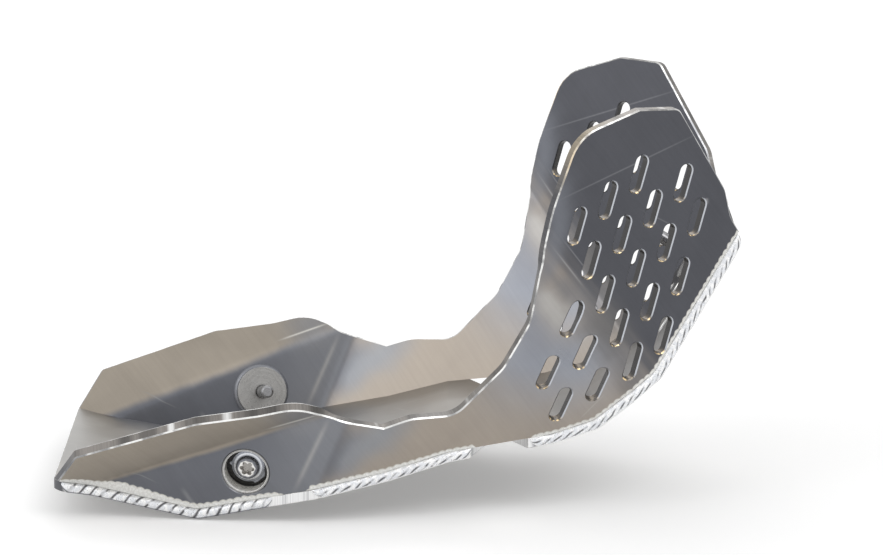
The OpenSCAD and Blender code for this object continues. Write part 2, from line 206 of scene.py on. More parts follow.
def newMaterial(name):
    made = bpy.data.materials.new(name)
    made.use_nodes = True
    made.node_tree.nodes.clear()
    t = Tree(made.node_tree)
    shader = t.add("ShaderNodeBsdfPrincipled")
    t.add("ShaderNodeOutputMaterial", {"Surface": shader.outputs[0]})
    return made, t, shader.inputs


def dress(t, p, colour, metallic, roughness, relief, strength, depth):
    # Fills a material's sockets; the relief is a height with its bump's strength and depth in metres
    normal = t.add("ShaderNodeBump", {"Strength": strength, "Distance": depth, "Height": relief}).outputs[0]
    for key, value in (("Base Color", colour), ("Metallic", metallic), ("Roughness", roughness),
                       ("Normal", normal)):
        t.put(p[key], value)


def srgb(r, g, b):
    # Colour as read in a picture, turned into the linear numbers that shaders take
    c = np.array([r, g, b]) / 255.0
    lin = np.where(c <= 0.04045, c / 12.92, ((c + 0.055) / 1.055) ** 2.4)
    return (float(lin[0]), float(lin[1]), float(lin[2]), 1.0)


# Effects that several materials share

def makeBrushedGrain():
    # Long fine lines left by rolling and brushing, along the vector's X, and a cloud without direction
    made, t, i, o = newGroup("brushedGrain", {"Vector": None, "Fineness": 900.0, "Stretch": 30.0},
                             ["Grain", "Broad", "Cloud"])
    x = t.split(i["Vector"])
    squeezed = t.add("ShaderNodeCombineXYZ", {0: t.math("DIVIDE", x[0], i["Stretch"]), 1: x[1],
                     2: t.math("DIVIDE", x[2], i["Stretch"])}).outputs[0]
    fine = t.noise(squeezed, i["Fineness"], 3.0, 0.6)
    broad = t.noise(squeezed, t.times(i["Fineness"], 0.22))
    t.put(o["Grain"], t.plus(t.times(fine, 0.6), t.times(broad, 0.4)))
    t.put(o["Broad"], broad)
    t.put(o["Cloud"], t.noise(i["Vector"], 28.0, 4.0, 0.55, 0.4))
    return made


def makeScratches():
    # Thin scratches: where a stretched noise crosses its middle value, broken up by a second noise
    made, t, i, o = newGroup("scratches", {"Vector": None, "Spacing": 0.02, "Thinness": 0.012}, ["Mask"])
    total = None
    for turn, shift in ((0.35, 0.0), (1.35, 3.1), (2.3, 7.7)):
        v = t.turned(i["Vector"], turn, shift)
        stretched = t.vector("MULTIPLY", v, (0.09, 1.0, 1.0))
        line = t.noise(stretched, t.math("DIVIDE", 1.0, i["Spacing"]), 0.0, 0.5, 0.15)
        thin = t.fall(t.math("ABSOLUTE", t.minus(line, 0.5)), 0.0, i["Thinness"])
        one = t.times(thin, t.ramp(t.noise(v, 26.0, 1.0), 0.55, 0.68))
        total = one if total is None else t.math("MAXIMUM", total, one)
    t.put(o["Mask"], total)
    return made


def makeFoldDistance():
    # Distance over the blank from a fold's line, which runs through a point
    made, t, i, o = newGroup("foldDistance", {"Vector": None, "Point": None, "Across": None}, ["Distance"])
    t.put(o["Distance"], t.dot(t.vector("SUBTRACT", i["Vector"], i["Point"]), i["Across"]))
    return made


def makeSoftStroke():
    # Soft stroke about a point: a bell curve across it, and a flatter one along it
    made, t, i, o = newGroup("softStroke", {"Vector": None, "Point": None, "Across": None, "Width": 0.001,
                             "Length": 0.01}, ["Mask"])
    away = t.vector("SUBTRACT", i["Vector"], i["Point"])
    along = t.vector("CROSS_PRODUCT", i["Across"], (0, 0, 1))
    s = t.math("DIVIDE", t.dot(away, i["Across"]), i["Width"])
    l = t.math("DIVIDE", t.dot(away, along), i["Length"])
    power = t.plus(t.times(s, s), t.math("POWER", t.math("ABSOLUTE", l), 4.0))
    t.put(o["Mask"], t.math("POWER", math.e, t.times(power, -1.0)))
    return made


brushedGrain = makeBrushedGrain()
softStroke = makeSoftStroke()
scratches = makeScratches()
foldDistance = makeFoldDistance()
print("shared effects ready")


# The side plate's blank and the seam, in millimetres, with the numbers that the solids are made by
sheet = {"thickness": 4.76, "bendRadius": 8.0, "bendSteps": 3, "seatDepth": 10.9,
         "slopes": [-11.5, 12.0, 16.0, 7.5, 17.0, 38.0, 58.0], "lengths": [67.3, 88.0, 30.0, 47.4, 21.0, 34.8],
         "frontBelow": 47.0, "frontAbove": 26.5, "halfWidth": 81.8, "sweep": 15.0, "lean": 19.7}
folds = {"wing": {"point": (-80.9, 15.7), "heading": 37.2, "angle": 20.5, "radius": 8.0},
         "rear": {"point": (-166.5985, -60.4053), "heading": 162.5, "angle": 24.5, "radius": 12.0},
         "lip": {"point": (-178.0985, -58.5053), "heading": 115.6, "angle": -37.0, "radius": 6.0}}


def shiftBy(v):
    m = np.eye(4)
    m[:3, 3] = v
    return m


def turnBy(axis, degrees):
    c, s = math.cos(math.radians(degrees)), math.sin(math.radians(degrees))
    a, b = [(1, 2), (2, 0), (0, 1)][axis]
    m = np.eye(4)
    m[a, a] = m[b, b] = c
    m[a, b], m[b, a] = -s, s
    return m


def direction(a):
    return np.array([math.cos(math.radians(a)), math.sin(math.radians(a))])


def foldSize(fold):
    # Radius of the bend's neutral line, and the width of the strip of blank that it uses up
    neutral = fold["radius"] + sheet["thickness"] / 2
    return neutral, neutral * abs(math.radians(fold["angle"]))


def foldLine(fold):
    # Frame on a fold's line, with X across it to the far side
    return shiftBy((*fold["point"], 0)) @ turnBy(2, fold["heading"])


def acrossFold(points, fold):
    # Distance over the blank from a fold's line to its far side
    return (points - np.array(fold["point"])) @ direction(fold["heading"])


def foldOver(fold):
    # Turns the far side of a fold about its bend, which uses up a strip as long as the neutral arc
    neutral, width = foldSize(fold)
    side = math.copysign(1, fold["angle"])
    line = foldLine(fold)
    return (line @ shiftBy((-width / 2, 0, -side * neutral)) @ turnBy(1, fold["angle"])
            @ shiftBy((-width / 2, 0, side * neutral)) @ np.linalg.inv(line))


frontTurn = math.radians(sheet["slopes"][6])
frontOut = np.array([math.sin(frontTurn), 0, -math.cos(frontTurn)])
seatShift = (sheet["seatDepth"] - sheet["thickness"]) * frontOut
midPlace = (shiftBy((0, -sheet["halfWidth"], 0)) @ turnBy(2, sheet["sweep"]) @ turnBy(0, sheet["lean"] + 90)
            @ shiftBy((0, 0, -sheet["thickness"] / 2)))
wingPlace = midPlace @ foldOver(folds["wing"])
rearPlace = midPlace @ foldOver(folds["rear"])
lipPlace = rearPlace @ foldOver(folds["lip"])


def unfold(flat, fold, allowed):
    # Rolls points back over one bend: the angle round its centre becomes length on the neutral line
    neutral, width = foldSize(fold)
    side = math.copysign(1, fold["angle"])
    line = foldLine(fold)
    local = (flat - line[:3, 3]) @ line[:3, :3]
    s, z = local[:, 0] + width / 2, local[:, 2] * side + neutral
    turned = np.clip(np.arctan2(s, z), 0, abs(math.radians(fold["angle"]))) * allowed
    back = np.stack([s * np.cos(turned) - z * np.sin(turned) + neutral * turned - width / 2, local[:, 1],
                     (s * np.sin(turned) + z * np.cos(turned) - neutral) * side], axis=1)
    return back @ line[:3, :3].T + line[:3, 3]


def toBlank(points):
    # Places on the folded right side plate, in millimetres, back to the flat blank
    inv = np.linalg.inv(midPlace)
    flat = (points - seatShift) @ inv[:3, :3].T + inv[:3, 3]
    beyondRear = (acrossFold(flat[:, :2], folds["rear"]) > -foldSize(folds["rear"])[1] / 2).astype(float)
    flat = unfold(flat, folds["wing"], 1 - beyondRear)
    flat = unfold(flat, folds["rear"], beyondRear)
    return unfold(flat, folds["lip"], beyondRear)


def cornersOfProfile():
    # Where the flats of the centre plate's upper face meet, counted back from the front panel
    corners = [-sheet["frontBelow"] * direction(sheet["slopes"][6])]
    for length, slope in zip(sheet["lengths"][::-1], sheet["slopes"][5::-1]):
        corners.insert(0, corners[0] - length * direction(slope))
    return corners


profileCorners = cornersOfProfile()


def profileLine(extra=0.0):
    # The centre plate's upper face as a chain of flats with a short arc at each corner
    slopes = sheet["slopes"]
    line = [profileCorners[0] - extra * direction(slopes[0])]
    for i in range(1, 7):
        turn = slopes[i] - slopes[i - 1]
        side = math.copysign(1, turn)
        r = sheet["bendRadius"] + (0 if side > 0 else sheet["thickness"])
        cut = r * math.tan(math.radians(abs(turn) / 2))
        centre = profileCorners[i] - cut * direction(slopes[i - 1]) + side * r * direction(slopes[i - 1] + 90)
        for k in range(sheet["bendSteps"] + 1):
            line.append(centre - side * r * direction(slopes[i - 1] + turn * k / sheet["bendSteps"] + 90))
    line.append((sheet["frontAbove"] + extra) * direction(slopes[6]))
    return np.array(line)


def faceWidth(place, q):
    # Half width to a flat's outer face over a place in side view
    p = (place @ np.array([0, 0, sheet["thickness"] / 2, 1]))[:3]
    n = place[:3, 2]
    return -(p[1] - (n[0] * (q[:, 0] - p[0]) + n[2] * (q[:, 1] - p[2])) / n[1])


def runOf(line):
    # Length along a line up to each of its points
    return np.concatenate([[0], np.cumsum(np.linalg.norm(np.diff(line, axis=0), axis=1))])


def alongProfile(line, step):
    # Places along a side view's line, at its corners and at every step, and how far along it they lie
    at = runOf(line)
    run = np.unique(np.concatenate([at, np.arange(0, at[-1], step)]))
    return run, np.stack([np.interp(run, at, line[:, 0]), np.interp(run, at, line[:, 1])], axis=1)


def seamLine():
    # The line where the side plate's outer face meets the centre plate's upper face, finely divided
    run, q = alongProfile(profileLine(), 0.5)
    half = np.minimum(np.minimum(np.maximum(faceWidth(rearPlace, q), faceWidth(lipPlace, q)),
                                 faceWidth(midPlace, q)), faceWidth(wingPlace, q))
    return np.stack([q[:, 0], -half, q[:, 1]], axis=1) + seatShift


longRun, longPlaces = alongProfile(profileLine(25.0), 1.5)
seam = seamLine()
seamRun = runOf(seam)
seamBlank = toBlank(seam)[:, :2]
print("seam is %.0f mm long" % seamRun[-1])


# Side plates, in millimetres: a flat blank with its cut-outs, folded round three bends. Each slot row has its
# number, the place of its first slot in half pitches and its count.
sidePlate = {
    "outlineBreak": 0.6, "slotBreak": 0.5, "grid": 3.2, "edgeStep": 1.8, "clearOfEdge": 1.2, "clearOfBend": 0.6,
    "bendRows": 7, "bendStep": 2.4, "capPoints": 15, "slotStep": 2.5, "holePoints": 48,
    "halfWidths": (20.0, 160.0), "halvings": 36, "frostOff": 30,
    "wingTop": 82.7, "wingRear": 83.4, "lipTop": 57.3, "lipRear": 13.4,
    "slotWidth": 6.35, "slotLength": 17.6, "slotPitch": 25.5, "rowPitch": 14.2, "slotTurn": -17.6,
    "slotOrigin": (-47.9, -1.7), "rearHole": (-209.3985, -90.6053), "rearHoleSize": 22.0,
    "slotRows": [(4, 0, 2), (3, -1, 3), (2, -2, 3), (1, -1, 3), (0, 0, 2), (-1, -1, 3), (-2, 0, 2), (-3, -1, 2),
                 (-4, 0, 1)]}


def besideCorner(i, x, y, radius):
    # A point of the blank that goes with one corner of the centre plate's profile
    u, v = midPlace[0, :2], midPlace[2, :2]
    flat = np.linalg.solve(np.array([u, v]), profileCorners[i] - midPlace[[0, 2], 3])
    return flat[0] + x, flat[1] + y, radius


def roundCorners(corners):
    # Replaces each corner but the first and the last by an arc that touches both its sides
    line = []
    for i, (x, y, radius) in enumerate(corners):
        p = np.array([x, y])
        if radius == 0 or i in (0, len(corners) - 1):
            line.append(p)
            continue
        u, v = [np.array(corners[i + k][:2]) - p for k in (-1, 1)]
        u, v = u / np.linalg.norm(u), v / np.linalg.norm(v)
        half = math.acos(np.clip(u @ v, -1, 1)) / 2
        middle = (u + v) / np.linalg.norm(u + v)
        centre = p + middle * radius / math.sin(half)
        start = p + u * radius / math.tan(half) - centre
        sweep = math.pi - 2 * half
        steps = max(2, math.ceil(math.degrees(sweep) / 9))
        side = -math.copysign(1, u[0] * v[1] - u[1] * v[0])
        for a in side * sweep * np.arange(steps + 1) / steps:
            line.append(centre + [start[0] * math.cos(a) - start[1] * math.sin(a),
                                  start[0] * math.sin(a) + start[1] * math.cos(a)])
    return np.array(line)


def divide(line, step):
    # Adds points so that no stretch of the line is longer than step
    counts = np.maximum(1, np.ceil(np.linalg.norm(np.diff(line, axis=0), axis=1) / step)).astype(int)
    which = np.repeat(np.arange(len(counts)), counts)
    share = (np.arange(counts.sum()) - np.repeat(np.cumsum(counts) - counts, counts)) / counts[which]
    return np.vstack([line[which] + (line[which + 1] - line[which]) * share[:, None], line[-1:]])


def inset(line, distance, closed=False):
    # Moves a line to its left by a distance, with its corners kept sharp
    ahead = np.roll(line, -1, axis=0) - line
    if not closed:
        ahead[-1] = ahead[-2]
    ahead /= np.linalg.norm(ahead, axis=1)[:, None]
    behind = np.roll(ahead, 1, axis=0)
    if not closed:
        behind[0] = ahead[0]
    left = np.stack([-(ahead + behind)[:, 1], (ahead + behind)[:, 0]], axis=1) / 2
    return line + left * distance / np.maximum((left ** 2).sum(axis=1), 0.3)[:, None]


def bendOver(points, blank, fold, share):
    # Wraps points round one bend: length along the neutral line becomes an angle round the bend's centre,
    # and what lies past the bend goes straight on
    neutral, width = foldSize(fold)
    share = np.maximum(share, 1e-4)
    line = foldLine(fold)
    used = np.clip(acrossFold(blank, fold) + width / 2, 0, width)
    angle = math.radians(fold["angle"]) * share * used / width
    radius = neutral / share * math.copysign(1, fold["angle"])
    local = (points - line[:3, 3]) @ line[:3, :3]
    s, z = local[:, 0] + width / 2 - used, local[:, 2] + radius
    local = np.stack([s * np.cos(angle) + z * np.sin(angle) - width / 2, local[:, 1],
                      z * np.cos(angle) - s * np.sin(angle) - radius], axis=1)
    return local @ line[:3, :3].T + line[:3, 3]


def foldSheet(blank, height):
    # Places on the blank, with their height over its middle, to where they lie on the folded right plate
    past = acrossFold(blank, folds["rear"]) / foldSize(folds["rear"])[1] + 0.5
    points = np.concatenate([blank, height[:, None]], axis=1)
    points = bendOver(points, blank, folds["lip"], np.clip(past, 0, 1))
    points = bendOver(bendOver(points, blank, folds["rear"], 1.0), blank, folds["wing"], 1.0)
    return points @ midPlace[:3, :3].T + midPlace[:3, 3] + seatShift


def marginAt(height):
    # Where the plate at this height in its thickness meets the centre plate's upper face: for each place on
    # the profile the half width is narrowed down by halves until the point lies at that height over the blank
    run, (x, z) = longRun, longPlaces.T
    near, far = [np.full(len(run), -half) for half in sidePlate["halfWidths"]]
    for _ in range(sidePlate["halvings"]):
        y = (near + far) / 2
        over = toBlank(np.stack([x, y, z], axis=1) + seatShift)[:, 2] > height
        near, far = np.where(over, near, y), np.where(over, y, far)
    return run, toBlank(np.stack([x, (near + far) / 2, z], axis=1) + seatShift)[:, :2]


def zipLines(first, second, firstAt, secondAt):
    # Triangles between two lines of vertices that run side by side
    isFirst = np.concatenate([np.ones(len(first) - 1, bool), np.zeros(len(second) - 1, bool)])
    order = np.argsort(np.concatenate([firstAt[1:], secondAt[1:]]), kind="stable")
    isFirst = isFirst[order]
    a, b = np.cumsum(isFirst), np.cumsum(~isFirst)
    third = np.where(isFirst, first[np.maximum(a - 1, 0)], second[np.maximum(b - 1, 0)])
    return np.stack([third, second[b], first[a]], axis=1)


def oddCrossings(points, a, b):
    # Whether a level line from each point to the right crosses an odd number of the edges from a to b
    crosses = (a[None, :, 1] > points[:, None, 1]) != (b[None, :, 1] > points[:, None, 1])
    rise = np.where(b[:, 1] == a[:, 1], 1.0, b[:, 1] - a[:, 1])
    where = a[None, :, 0] + (points[:, None, 1] - a[None, :, 1]) / rise * (b - a)[None, :, 0]
    return (crosses & (where > points[:, None, 0])).sum(axis=1) % 2 == 1


def fillOutline(loops, inner):
    # Constrained triangulation of an outline with holes and loose inner points. Triangles that meet over a free
    # edge share a label, and the largest of a label says by even-odd crossings whether it lies inside; slivers
    # that stand alone outside a straight edge are dropped
    points = np.vstack(loops + [inner])
    starts = np.cumsum([0] + [len(loop) for loop in loops])
    edges = np.vstack([np.stack([np.arange(a, b), np.roll(np.arange(a, b), -1)], axis=1)
                       for a, b in zip(starts[:-1], starts[1:])])
    made = delaunay_2d_cdt([Vector(p) for p in points.tolist()], edges.tolist(), [], 0, 1e-7)
    source = np.array([ids[0] for ids in made[3]])
    triangles = source[np.array(made[2])]
    inside = oddCrossings(points[triangles].mean(axis=1), points[edges[:, 0]], points[edges[:, 1]])
    sides = np.sort(np.stack([triangles, np.roll(triangles, -1, axis=1)], axis=-1).reshape(-1, 2), axis=1)
    code, wall = sides @ [len(points), 1], np.sort(edges, axis=1) @ [len(points), 1]
    free = np.flatnonzero(~np.isin(code, wall))
    free = free[np.argsort(code[free], kind="stable")]
    meets = code[free[:-1]] == code[free[1:]]
    one, other = free[:-1][meets] // 3, free[1:][meets] // 3
    label, before = np.arange(len(triangles)), None
    while before is None or (label != before).any():
        before = label
        low, label = np.minimum(label[one], label[other]), label.copy()
        np.minimum.at(label, one, low)
        np.minimum.at(label, other, low)
        label = label[label]
    p, q, r = points[triangles[:, 0]], points[triangles[:, 1]], points[triangles[:, 2]]
    area = (q - p)[:, 0] * (r - p)[:, 1] - (q - p)[:, 1] * (r - p)[:, 0]
    order = np.argsort(np.abs(area))
    largest = np.zeros(len(triangles), dtype=int)
    largest[label[order]] = order
    triangles = triangles[(inside & (np.abs(area) > 0.02))[largest[label]]]
    return triangles if area.sum() > 0 else triangles[:, ::-1]


def slotLoops():
    # Slots and the cup's hole, each with the same number of points as its broken edge
    a = np.linspace(-math.pi / 2, math.pi / 2, sidePlate["capPoints"])
    cap = sidePlate["slotWidth"] / 2 * np.stack([np.sin(a), np.cos(a)], axis=1)
    cap[:, 1] += (sidePlate["slotLength"] - sidePlate["slotWidth"]) / 2
    side = divide(np.array([cap[-1], -cap[0]]), sidePlate["slotStep"])[1:-1]
    local = np.vstack([cap, side, -cap, -side])
    turn = np.array([direction(sidePlate["slotTurn"]), direction(sidePlate["slotTurn"] + 90)])
    loops, places = [], []
    for row, first, count in sidePlate["slotRows"]:
        for k in range(count):
            at = np.array([(first / 2 + k) * sidePlate["slotPitch"], row * sidePlate["rowPitch"]])
            loops.append(local @ turn + np.array(sidePlate["slotOrigin"]) + at @ turn)
            places.append(local)
    turns = -2 * math.pi / sidePlate["holePoints"] * np.arange(sidePlate["holePoints"])
    ring = np.stack([np.cos(turns), np.sin(turns)], axis=1)
    loops.append(np.array(sidePlate["rearHole"]) + ring * sidePlate["rearHoleSize"] / 2)
    places.append(ring * 0)
    return loops, places


def plateOutline():
    v = sidePlate
    return [(33, 4, 0), (20.2, 24.5, 12), (17, 37.8, 12), (-9.3, 80.2, 5), (-30.8, v["wingTop"], 3),
            (-63, v["wingTop"] - 7.9, 20), (-76.7, v["wingTop"] - 40.7, 60), (2.1 - v["wingRear"], 24, 60),
            (-v["wingRear"] - 0.8, -12, 22), (-94.6, -35.3, 14), besideCorner(3, 1.1, 20.3, 12),
            besideCorner(3, -19.6, 19.7, 20), besideCorner(3, -32.1, 15.4, 0.8),
            besideCorner(1, 58.8, v["lipTop"] - 7.7, 20), besideCorner(1, 43.1, v["lipTop"], 18),
            besideCorner(1, 26.3, v["lipTop"] - 4.8, 25), besideCorner(1, -2.1, v["lipTop"] - 9.4, 6),
            besideCorner(0, v["lipRear"], 10.4, 2.5), besideCorner(0, v["lipRear"] - 14, -24, 0)]


def cutToMargin(line, margin):
    # Keeps the part of an outline above the margin, with new ends where the two cross
    over = line[:, 1] - np.interp(line[:, 0], margin[:, 0], margin[:, 1])
    kept = np.flatnonzero(over > 0)
    first, last = kept[0], kept[-1]
    start, stop = [line[k] + (line[k + 1] - line[k]) * over[k] / (over[k] - over[k + 1])
                   for k in (first - 1, last)]
    places = np.concatenate([[first - 0.5], np.arange(first, last + 1), [last + 0.5]])
    return np.vstack([start, line[first:last + 1], stop]), places


def innerPoints(loops):
    # A grid over the flats and rows along the bends, kept clear of every edge
    low, high, step = loops[0].min(axis=0), loops[0].max(axis=0), sidePlate["grid"]
    x, y = np.meshgrid(np.arange(low[0], high[0], step), np.arange(low[1], high[1], step))
    points = np.stack([x.ravel(), y.ravel()], axis=1)
    rows = []
    for name, fold in folds.items():
        width = foldSize(fold)[1]
        across, along = direction(fold["heading"]), direction(fold["heading"] + 90)
        points = points[np.abs(acrossFold(points, fold)) > width / 2 + sidePlate["clearOfBend"]]
        s, l = np.meshgrid(np.linspace(-width / 2, width / 2, sidePlate["bendRows"]),
                           np.arange(-200, 200, sidePlate["bendStep"]))
        row = np.array(fold["point"]) + s.reshape(-1, 1) * across + l.reshape(-1, 1) * along
        past = acrossFold(row, folds["rear"])
        if name == "lip":
            row = row[past > foldSize(folds["rear"])[1] / 2 + 0.4]
        elif name == "wing":
            row = row[past < -20]
        rows.append(row)
    points = np.vstack([points] + rows)
    inside = np.zeros(len(points), bool)
    clear = np.ones(len(points), bool)
    for loop in loops:
        inside ^= oddCrossings(points, loop, np.roll(loop, -1, axis=0))
        near = np.sqrt(((points[:, None] - loop[None]) ** 2).sum(axis=2)).min(axis=1)
        clear &= near > sidePlate["clearOfEdge"]
    return points[inside & clear]


def sidePlateMesh():
    # Four rings of points, from the outer face's broken edge to the inner face's, joined by strips, with the
    # two faces filled in and the lower margin closed along the centre plate. Each face gets a kind, the number
    # of its metal: 0 sheet, 1 broken edge, 2 cut wall, 3 slot rim and 4 slot wall.
    t = sheet["thickness"] / 2
    brk, slotBrk = sidePlate["outlineBreak"], sidePlate["slotBreak"]
    levels = [(t, brk, slotBrk), (t - brk, 0, 0), (brk - t, 0, 0), (-t, brk, slotBrk)]
    slotHeights = [t, t - slotBrk, slotBrk - t, -t]
    whole = divide(roundCorners(plateOutline()), sidePlate["edgeStep"])
    slots, places = slotLoops()
    flats, heights, slotPlaces, blocks, count = [], [], [], [], 0

    def put(flat, height, local=None):
        nonlocal count
        flats.append(flat)
        heights.append(np.full(len(flat), height))
        slotPlaces.append(np.zeros((len(flat), 2)) if local is None else local)
        count += len(flat)
        return np.arange(count - len(flat), count)

    margins = [marginAt(height) for height, _, _ in levels]
    for k, (height, off, slotOff) in enumerate(levels):
        edge, at = cutToMargin(inset(whole, off), margins[k][1])
        holes = [put(inset(loop, slotOff, True), slotHeights[k], local) for loop, local in zip(slots, places)]
        run = np.interp(edge[[0, -1], 0], margins[k][1][:, 0], margins[k][0])
        blocks.append({"edge": put(edge, height), "at": at, "holes": holes, "ends": run})
    faces, kinds = [], []

    def join(triangles, kind):
        faces.append(triangles)
        kinds.append(np.full(len(triangles), kind))

    for k in (0, 3):
        run, margin = margins[k]
        front, rear = blocks[k]["ends"]
        between = (run > rear + 0.2) & (run < front - 0.2)
        blocks[k]["margin"] = put(margin[between], levels[k][0])
        blocks[k]["marginAt"] = run[between]
        index = [np.concatenate([blocks[k]["edge"], blocks[k]["margin"]])] + blocks[k]["holes"]
        every = np.vstack(flats)
        loops = [every[ids] for ids in index]
        inner = innerPoints(loops)
        index = np.concatenate(index + [put(inner, levels[k][0])])
        triangles = index[fillOutline(loops, inner)]
        join(triangles if k == 0 else triangles[:, ::-1], 0)
    for k in range(3):
        upper, lower = blocks[k], blocks[k + 1]
        join(zipLines(upper["edge"], lower["edge"], upper["at"], lower["at"]), 2 if k == 1 else 1)
        for a, b in zip(upper["holes"], lower["holes"]):
            c, d = np.roll(a, -1), np.roll(b, -1)
            join(np.vstack([np.stack([a, b, d], axis=1), np.stack([a, d, c], axis=1)]), 4 if k == 1 else 3)
    chains = []
    for k in (0, 3):
        block = blocks[k]
        chains.append((np.concatenate([block["edge"][-1:], block["margin"], block["edge"][:1]]),
                       np.concatenate([[block["ends"][1]], block["marginAt"], [block["ends"][0]]])))
    join(zipLines(chains[0][0], chains[1][0], chains[0][1], chains[1][1]), 0)
    for end, order in ((0, -1), (-1, 1)):
        a, b, c, d = [blocks[k]["edge"][end] for k in range(4)]
        join(np.array([[a, b, c], [a, c, d]])[:, ::order], 0)
    return (np.vstack(flats), np.concatenate(heights), np.vstack(slotPlaces), np.vstack(faces),
            np.concatenate(kinds))


def makeSidePlate(name, mirrored, metals):
    # The frosted band is kept off the inner face by a distance that is added there
    flat, height, local, faces, kinds = sidePlateMesh()
    used, faces = np.unique(faces, return_inverse=True)
    faces = faces.reshape(-1, 3)
    flat, height, local = flat[used], height[used], local[used]
    points = foldSheet(flat, height) / 1000
    if mirrored:
        points, faces = points * np.array([1, -1, 1]), faces[:, ::-1]
    mesh = bpy.data.meshes.new(name)
    mesh.from_pydata(points.tolist(), [], faces.tolist())
    away = ((flat[:, None] - seamBlank[None]) ** 2).sum(axis=2)
    nearest = away.argmin(axis=1)
    distance = np.sqrt(away.min(axis=1)) + np.where(height < 0, sidePlate["frostOff"], 0)
    beside = np.stack([seamRun[nearest], distance], axis=1)
    for layer, values in (("sheet", flat), ("beside", beside), ("slot", local)):
        addUv(mesh, layer, values / 1000)
    for metal in metals:
        mesh.materials.append(metal)
    mesh.polygons.foreach_set("material_index", kinds.astype(np.int32))
    mesh.shade_smooth()
    mesh.set_sharp_from_angle(angle=math.radians(30))
    return link(bpy.data.objects.new(name, mesh))


def mergedCopy(nodeName, pieceName, mergeAt=3e-5):
    # A welded copy of a solid's mesh, with the flats as single faces so that the edges can be broken
    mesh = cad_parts[nodeName].data.copy()
    mesh.name = pieceName
    made = bmesh.new()
    made.from_mesh(mesh)
    bmesh.ops.remove_doubles(made, verts=made.verts, dist=mergeAt)
    bmesh.ops.dissolve_degenerate(made, edges=made.edges, dist=1e-6)
    bmesh.ops.dissolve_limit(made, angle_limit=math.radians(0.5), verts=made.verts, edges=made.edges)
    made.to_mesh(mesh)
    made.free()
    while mesh.uv_layers:
        mesh.uv_layers.remove(mesh.uv_layers[0])
    mesh.materials.clear()
    mesh.shade_smooth()
    mesh.set_sharp_from_angle(angle=math.radians(32))
    return link(bpy.data.objects.new(pieceName, mesh))


def breakEdges(ob, width, edgeSlot=-1, angle=40):
    bevel = ob.modifiers.new("edges", "BEVEL")
    bevel.width = width / 1000
    bevel.segments = 2
    bevel.limit_method = "ANGLE"
    bevel.angle_limit = math.radians(angle)
    bevel.use_clamp_overlap = False
    bevel.material = edgeSlot
    bevel.miter_outer = "MITER_ARC"
    normals = ob.modifiers.new("normals", "WEIGHTED_NORMAL")
    normals.keep_sharp = True


def curveOf(t, value, xs, ys):
    # Straight stretches through the points given, as a float curve in real units
    lowX, highX, lowY, highY = min(xs), max(xs), min(ys), max(ys)
    node = t.add("ShaderNodeFloatCurve")
    curve = node.mapping.curves[0]
    places = [((x - lowX) / (highX - lowX), (y - lowY) / (highY - lowY)) for x, y in zip(xs, ys)]
    curve.points[0].location, curve.points[1].location = places[0], places[-1]
    for x, y in places[1:-1]:
        curve.points.new(x, y)
    for point in curve.points:
        point.handle_type = "VECTOR"
    node.mapping.update()
    t.put(node.inputs["Value"], t.ramp(value, lowX, highX, kind="LINEAR"))
    return t.ramp(node.outputs[0], 0.0, 1.0, lowY, highY, kind="LINEAR")


